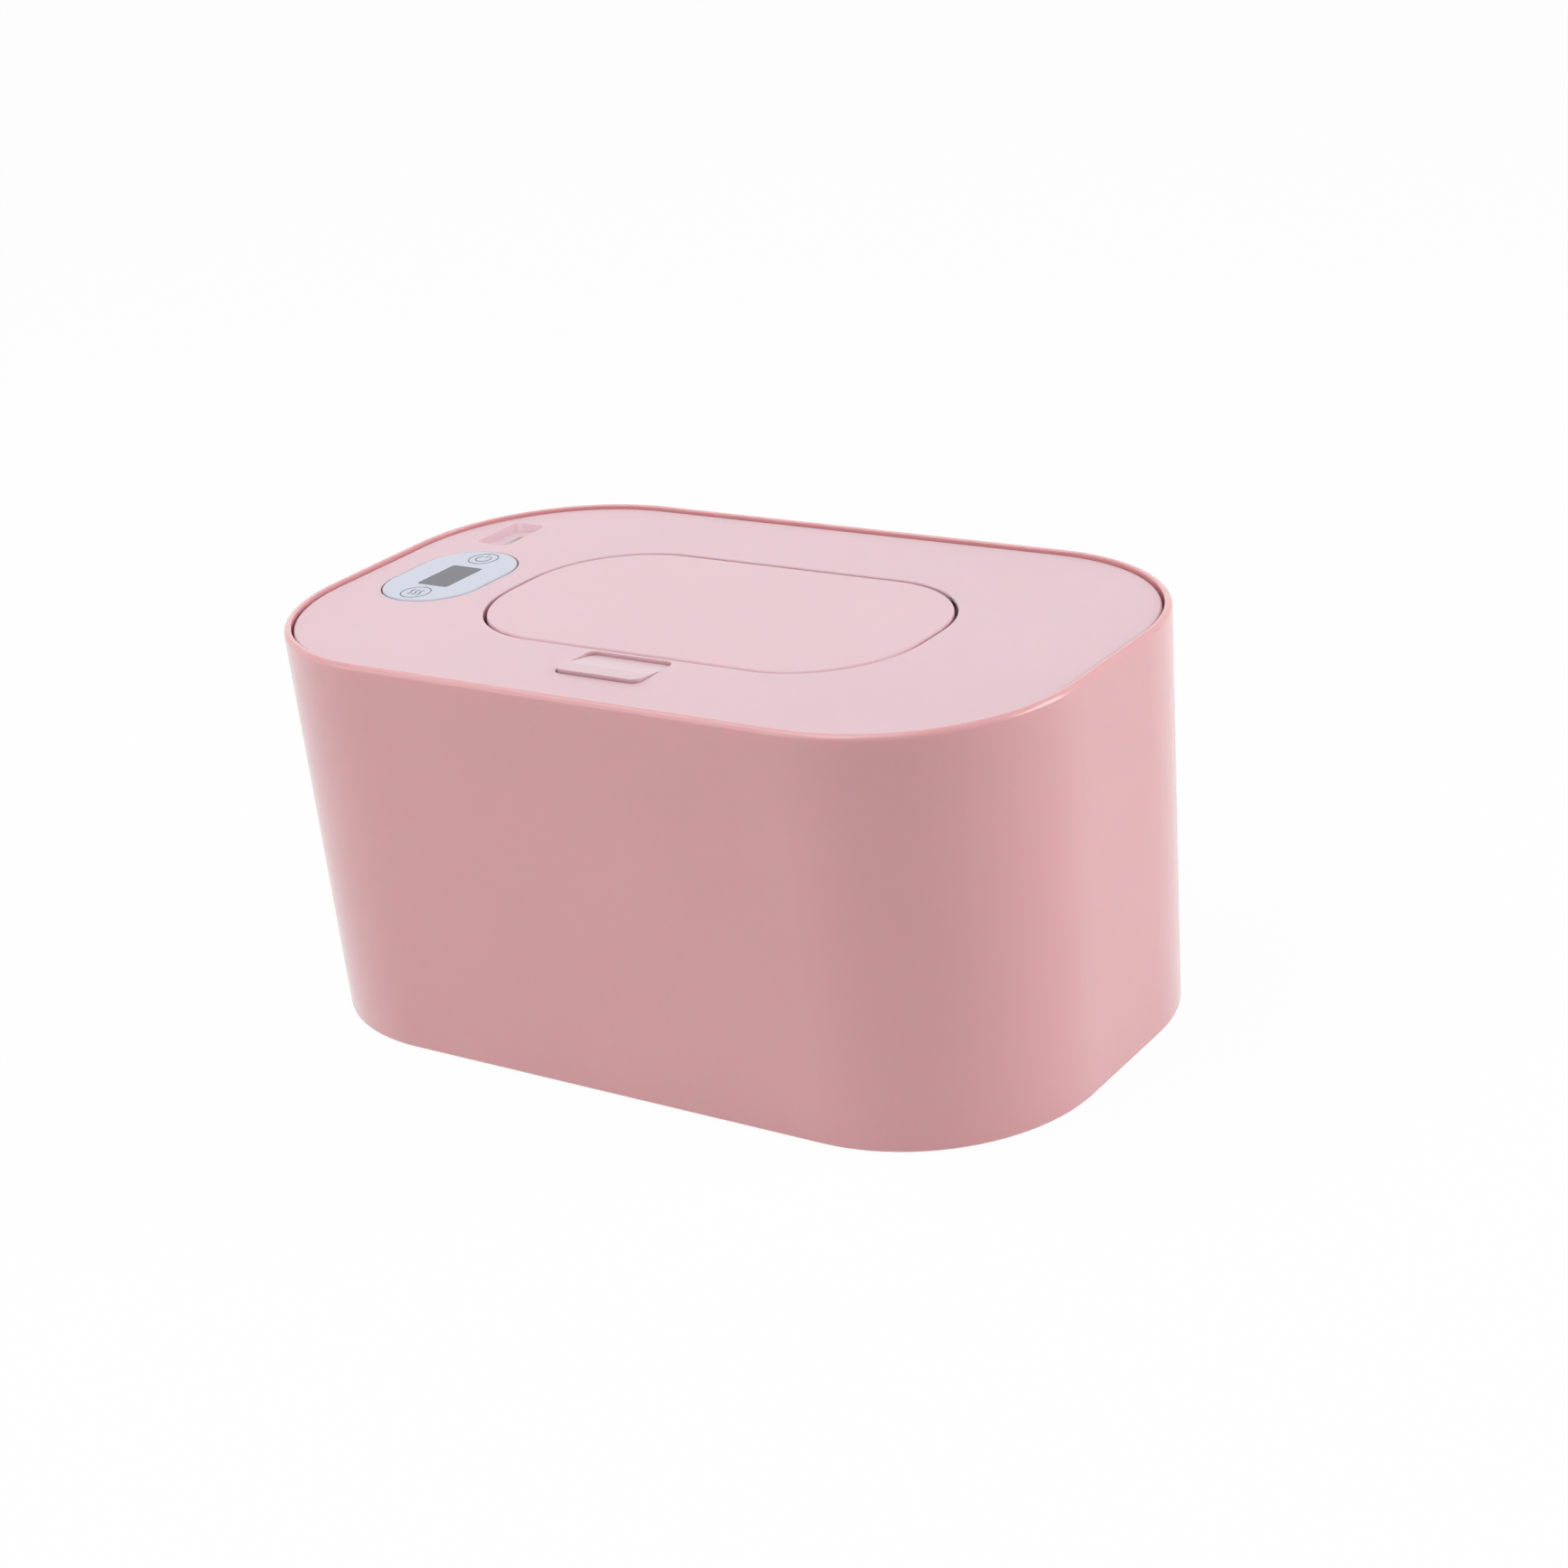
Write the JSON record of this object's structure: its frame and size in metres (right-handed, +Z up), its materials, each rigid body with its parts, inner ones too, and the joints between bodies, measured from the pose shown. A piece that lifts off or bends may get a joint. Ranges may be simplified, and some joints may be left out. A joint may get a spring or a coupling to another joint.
{
  "type": "baby_wipe_warmer",
  "caption": "Pink rounded box for keeping wipes warm, with a flush sprung flip lid, a rocker press button, a glossy control panel and a top heater.",
  "frame": {"origin": "on the table, under the middle of the body", "axes": "+Z up, -Y to the front with the press button, +X to the right along the long side"},
  "size_m": [0.2, 0.12, 0.095],
  "materials": {
    "shell_pink": "gloss",
    "lid_pink": "gloss",
    "flip_pink": "gloss",
    "button_pink": "gloss",
    "white_plastic": "satin",
    "silicone": "matte",
    "foot_rubber": "matte",
    "panel_gloss": "gloss",
    "smoked_lens": "gloss",
    "dark_plastic": "matte",
    "steel": "satin",
    "nickel": "satin",
    "board_green": "satin",
    "aluminium_plate": "satin",
    "film_amber": "satin",
    "foam_grey": "matte",
    "lead_red": "satin"
  },
  "bodies": {
    "base": {"outer_shell": "shell_pink", "inner_tub": "white_plastic", "tub_screws": "steel", "feet": "foot_rubber"},
    "lid": {"lid_top_cover": "lid_pink", "lid_lower_cover": "white_plastic", "lid_screws": "steel", "lid_seal": "silicone", "dispensing_collar": "white_plastic", "control_panel": "panel_gloss", "display_window": "smoked_lens", "display_module": "dark_plastic", "touch_springs": "steel", "control_board": "board_green", "board_screws": "steel", "usb_socket": "nickel", "heater_plate": "aluminium_plate", "heating_film": "film_amber", "insulation_pad": "foam_grey", "thermistor": "dark_plastic", "thermal_fuse": "nickel", "heater_leads": "lead_red", "hinge_pins": "steel", "opening_spring": "steel", "latch_spring": "steel"},
    "flip_lid": {"flip_lid_panel": "flip_pink", "flip_lid_liner": "white_plastic", "flip_lid_seal": "silicone"},
    "press_button": {"press_button": "button_pink"},
    "latch": {"latch_slide": "white_plastic"}
  },
  "joints": [
    {"name": "lid_lift", "type": "slide", "parent": "base", "child": "lid", "axis": [0, 0, 1], "range_m": [0, 0.08]},
    {"name": "flip_hinge", "type": "hinge", "parent": "lid", "child": "flip_lid", "pos_m": [0, 0.0245, 0.09315], "axis": [-1, 0, 0], "range_deg": [0, 75]},
    {"name": "button_rock", "type": "hinge", "parent": "lid", "child": "press_button", "pos_m": [0, -0.0334, 0.091], "axis": [1, 0, 0], "range_deg": [0, 8], "stiffness_Nm_per_rad": 0.002, "springref_deg": -1.15},
    {"name": "latch_travel", "type": "slide", "parent": "lid", "child": "latch", "axis": [0, -1, 0], "range_m": [0, 0.00095], "deforming": ["latch_spring"]}
  ],
  "couplings": [
    {"joint": "button_rock", "follows": "latch_travel", "rad_per_m": 147}
  ]
}
